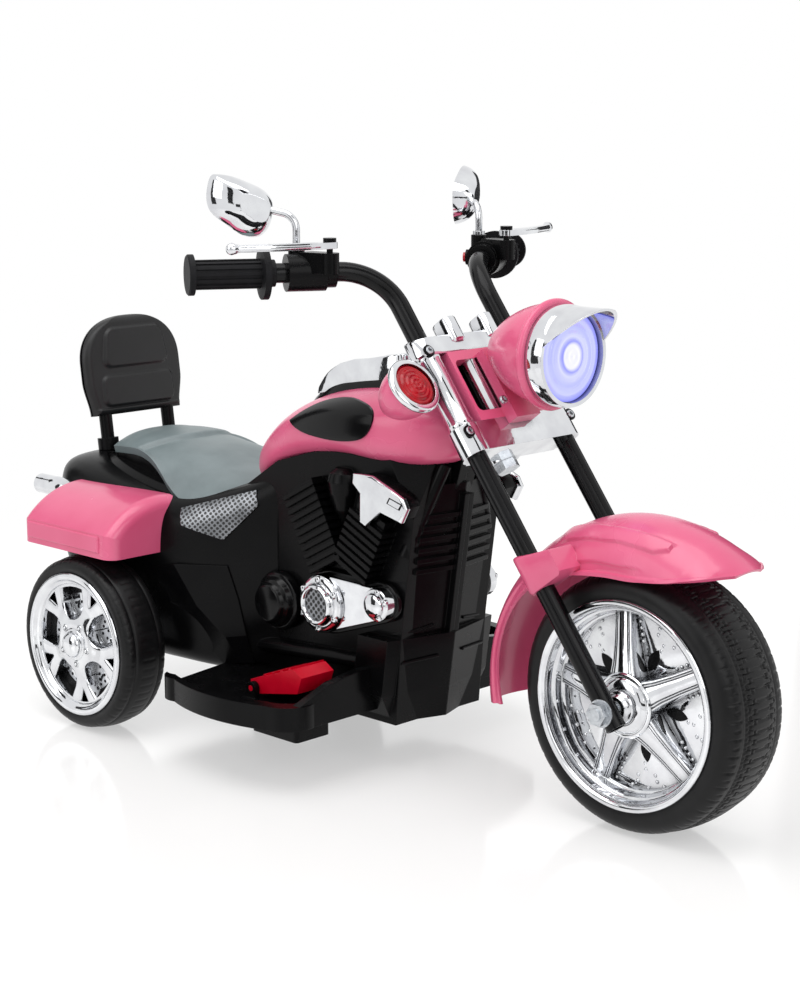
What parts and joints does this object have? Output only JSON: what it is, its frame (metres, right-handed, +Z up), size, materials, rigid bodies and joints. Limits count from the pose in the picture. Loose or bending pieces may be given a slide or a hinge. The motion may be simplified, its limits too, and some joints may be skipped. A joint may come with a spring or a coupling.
{
  "type": "kids electric motorbike",
  "caption": "Battery ride-on chopper trike for a child: raked fork with handlebar, large front wheel, paired small rear wheels, saddle with backrest, footboards and foot pedal.",
  "frame": {"origin": "on the ground, under the middle of the whole trike", "axes": "+X forward, +Y to the rider's left, +Z up"},
  "size_m": [0.919, 0.4758, 0.598],
  "materials": {
    "pink_plastic": "gloss",
    "black_plastic": "satin",
    "black_gloss_plastic": "gloss",
    "chrome_trim": "polished",
    "black_tube": "gloss",
    "reflector_plating": "polished",
    "tyre_black": "matte",
    "seat_grey": "matte",
    "pedal_red": "satin",
    "lens_red": "gloss",
    "lens_clear": "gloss",
    "mirror_face": "polished",
    "zinc_steel": "satin",
    "grip_rubber": "matte",
    "button_red": "gloss",
    "inner_plastic": "matte"
  },
  "bodies": {
    "chassis": {"backrest_pad": "black_plastic", "backrest_posts": "black_plastic", "battery": "inner_plastic", "body_shell_left": "black_plastic", "body_shell_right": "black_plastic", "charging_socket": "inner_plastic", "control_module": "inner_plastic", "cylinder_covers": "chrome_trim", "dash_console": "chrome_trim", "drive_gearbox": "inner_plastic", "drive_motor": "zinc_steel", "engine_covers": "chrome_trim", "footboards": "black_plastic", "fuel_tank": "pink_plastic", "head_bush": "inner_plastic", "horn_covers": "black_plastic", "rear_axle": "zinc_steel", "rear_boxes": "pink_plastic", "rear_lamp_housings": "chrome_trim", "rear_lamp_lenses": "lens_red", "seat": "seat_grey", "seat_trims": "chrome_trim", "skid_blocks": "black_plastic", "speaker": "inner_plastic", "tank_badges": "black_gloss_plastic", "tank_top_trim": "black_gloss_plastic"},
    "steering": {"fork_tubes": "black_tube", "lower_clamp": "chrome_trim", "upper_clamp": "chrome_trim", "steering_stem": "zinc_steel", "head_shroud": "pink_plastic", "headlight_shell": "pink_plastic", "headlight_bezel": "chrome_trim", "headlight_reflector": "reflector_plating", "headlight_lens": "lens_clear", "turn_signal_shells": "pink_plastic", "turn_signal_rims": "chrome_trim", "turn_signal_lenses": "lens_red", "handlebar_tubes": "black_tube", "grips": "grip_rubber", "control_perches": "black_plastic", "front_fender": "pink_plastic", "front_axle": "zinc_steel"},
    "front_wheel": {"front_tyre": "tyre_black", "front_hubcaps": "chrome_trim"},
    "rear_wheel_right": {"rear_tyre_right": "tyre_black", "rear_hubcap_right": "chrome_trim"},
    "rear_wheel_left": {"rear_tyre_left": "tyre_black", "rear_hubcap_left": "chrome_trim"},
    "pedal": {"foot_pedal": "pedal_red"},
    "brake_lever_right": {"lever_right": "chrome_trim"},
    "brake_lever_left": {"lever_left": "chrome_trim"},
    "rear_mirror_right": {"mirror_right": "chrome_trim", "mirror_glass_right": "mirror_face"},
    "rear_mirror_left": {"mirror_left": "chrome_trim", "mirror_glass_left": "mirror_face"},
    "horn": {"horn_button": "button_red"},
    "music": {"music_button": "button_red"},
    "power": {"power_switch": "button_red"},
    "direction": {"direction_switch": "button_red"}
  },
  "joints": [
    {"name": "steering_turn", "type": "hinge", "parent": "chassis", "child": "steering", "pos_m": [0.10823, 0, 0.37709], "axis": [-0.6018, 0, 0.7986], "range_deg": [-24, 24]},
    {"name": "front_wheel_spin", "type": "hinge", "parent": "steering", "child": "front_wheel", "pos_m": [0.332, 0, 0.125], "axis": [0, 1, 0], "continuous": true},
    {"name": "rear_wheel_right_spin", "type": "hinge", "parent": "chassis", "child": "rear_wheel_right", "pos_m": [-0.294, -0.165, 0.0944], "axis": [0, 1, 0], "continuous": true},
    {"name": "rear_wheel_left_spin", "type": "hinge", "parent": "chassis", "child": "rear_wheel_left", "pos_m": [-0.294, 0.165, 0.0944], "axis": [0, 1, 0], "continuous": true},
    {"name": "pedal_press", "type": "hinge", "parent": "chassis", "child": "pedal", "pos_m": [-0.05, -0.128, 0.088], "axis": [0, 1, 0], "range_deg": [0, 6], "stiffness_Nm_per_rad": 1.5, "springref_deg": -8.59},
    {"name": "lever_right_pull", "type": "hinge", "parent": "steering", "child": "brake_lever_right", "pos_m": [0.0369, -0.12582, 0.53], "axis": [0, 0, -1], "range_deg": [0, 12], "stiffness_Nm_per_rad": 0.5, "springref_deg": -5.73},
    {"name": "lever_left_pull", "type": "hinge", "parent": "steering", "child": "brake_lever_left", "pos_m": [0.0369, 0.12582, 0.53], "axis": [0, 0, 1], "range_deg": [0, 12], "stiffness_Nm_per_rad": 0.5, "springref_deg": -5.73},
    {"name": "mirror_right_turn", "type": "hinge", "parent": "steering", "child": "rear_mirror_right", "pos_m": [-0.0051, -0.12982, 0.53], "axis": [0, 0, 1], "range_deg": [-30, 30]},
    {"name": "mirror_left_turn", "type": "hinge", "parent": "steering", "child": "rear_mirror_left", "pos_m": [-0.0051, 0.12982, 0.53], "axis": [0, 0, 1], "range_deg": [-30, 30]},
    {"name": "horn_press", "type": "slide", "parent": "steering", "child": "horn", "axis": [0.866, -0.5, 0], "range_m": [0, 0.002], "stiffness_N_per_m": 300, "springref_m": -0.001},
    {"name": "music_press", "type": "slide", "parent": "steering", "child": "music", "axis": [0.866, 0.5, 0], "range_m": [0, 0.002], "stiffness_N_per_m": 300, "springref_m": -0.001},
    {"name": "power_rock", "type": "hinge", "parent": "chassis", "child": "power", "pos_m": [-0.03401, 0, 0.39496], "axis": [0, 1, 0], "range_deg": [-8, 8]},
    {"name": "direction_rock", "type": "hinge", "parent": "chassis", "child": "direction", "pos_m": [-0.00401, 0, 0.40172], "axis": [0, 1, 0], "range_deg": [-8, 8]}
  ]
}
